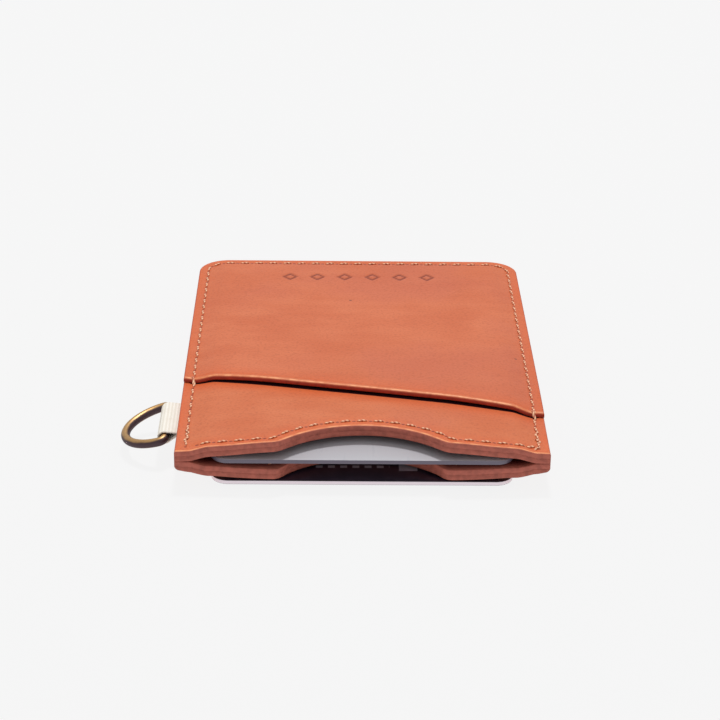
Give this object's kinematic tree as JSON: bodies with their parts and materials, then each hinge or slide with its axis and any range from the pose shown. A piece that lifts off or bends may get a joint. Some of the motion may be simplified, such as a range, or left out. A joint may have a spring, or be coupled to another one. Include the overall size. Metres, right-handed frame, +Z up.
{
  "type": "minimalist wallet",
  "caption": "Slim leather card sleeve, open at one end, with a centre slot, a slanted pocket on each face, thumb notches, two cards and a D-ring on a ribbon tab.",
  "frame": {"origin": "on the flat underside of the back pocket, on the sleeve's centre line, 50 mm behind the mouth", "axes": "+X across the sleeve, the ring being on -X; +Y from the mouth to the closed end; +Z up from the face the sleeve lies on"},
  "size_m": [0.0775, 0.09, 0.0108],
  "materials": {
    "leather": "smooth tan leather with a soft waxy sheen",
    "leather_lining": "the same hide, flesh side in",
    "card_grey": "satin light grey card",
    "card_dark": "near-black card with a pale core",
    "ribbon": "ribbed cream ribbon",
    "antique_brass": "darkened brass, rubbed bright on the outside",
    "thread": "waxed tan thread"
  },
  "bodies": {
    "sleeve": {"front_pocket": "leather", "front_panel": "leather", "front_lining": "leather_lining", "back_lining": "leather_lining", "back_panel": "leather", "back_pocket": "leather", "ribbon_loop": "ribbon", "side_seam_needle_thread": "thread", "side_seam_bobbin_thread": "thread", "front_mouth_needle_thread": "thread", "front_mouth_bobbin_thread": "thread", "back_mouth_needle_thread": "thread", "back_mouth_bobbin_thread": "thread"},
    "ring": {"d_ring": "antique_brass"},
    "centre_card": {"centre_card": "card_grey"},
    "back_card": {"back_card": "card_dark"}
  },
  "joints": [
    {"name": "ring_swing", "type": "hinge", "parent": "sleeve", "child": "ring", "pos_m": [-0.0358, -0.0335, 0.0051], "axis": [0, 1, 0], "range_deg": [-90, 120]},
    {"name": "centre_card_slide", "type": "slide", "parent": "sleeve", "child": "centre_card", "axis": [0, -1, 0.0086], "range_m": [0, 0.09]},
    {"name": "back_card_slide", "type": "slide", "parent": "sleeve", "child": "back_card", "axis": [0, -1, 0], "range_m": [0, 0.09]}
  ]
}
